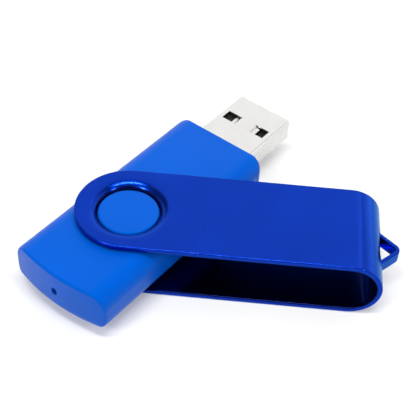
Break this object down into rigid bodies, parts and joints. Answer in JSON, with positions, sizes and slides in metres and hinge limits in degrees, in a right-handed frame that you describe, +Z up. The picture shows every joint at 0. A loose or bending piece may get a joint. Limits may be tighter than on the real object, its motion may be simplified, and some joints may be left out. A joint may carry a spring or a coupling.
{
  "type": "swivel USB flash drive",
  "caption": "Flat plastic USB flash drive that turns on round bosses inside a folded sheet metal clip, which covers the plug when shut and ends in a lanyard loop.",
  "frame": {"origin": "where the swivel axis meets the plane of the clip's underside, on which the drive lies", "axes": "+Z up along the swivel axis; +X from the swivel towards the clip's bend and lanyard loop; the drive is at rest turned 56.6 degrees about +Z from its shut position along +X"},
  "size_m": [0.0664, 0.0581, 0.0116],
  "materials": {
    "clip_aluminium": "satin anodised blue",
    "housing_plastic": "fine satin, blue",
    "plug_nickel": "bright nickel plate",
    "insulator_plastic": "moulded black",
    "contact_gold": "gold plated",
    "board_laminate": "green solder resist on laminate",
    "chip_package": "moulded black epoxy",
    "tinned_metal": "tin plated",
    "crystal_ceramic": "matte ceramic",
    "led_resin": "clear resin",
    "capacitor_ceramic": "matte ceramic",
    "resistor_ceramic": "glazed black on ceramic",
    "ferrite_ceramic": "dark ferrite"
  },
  "bodies": {
    "clip": {"swivel_clip": "clip_aluminium"},
    "drive": {"upper_shell": "housing_plastic", "lower_shell": "housing_plastic", "plug_shell": "plug_nickel", "plug_insulator": "insulator_plastic", "contact_power": "contact_gold", "contact_data_minus": "contact_gold", "contact_data_plus": "contact_gold", "contact_ground": "contact_gold", "circuit_board": "board_laminate", "flash_chip": "chip_package", "flash_chip_leads": "tinned_metal", "controller_chip": "chip_package", "controller_leads": "tinned_metal", "crystal_base": "crystal_ceramic", "crystal_lid": "tinned_metal", "voltage_regulator": "chip_package", "regulator_leads": "tinned_metal", "status_led": "led_resin", "chip_capacitors": "capacitor_ceramic", "chip_resistors": "resistor_ceramic", "ferrite_bead": "ferrite_ceramic", "contact_solder": "tinned_metal", "shell_solder": "tinned_metal"}
  },
  "joints": [
    {"name": "swivel", "type": "hinge", "parent": "clip", "child": "drive", "pos_m": [0, 0, 0.0058], "axis": [0, 0, 1], "continuous": true}
  ]
}
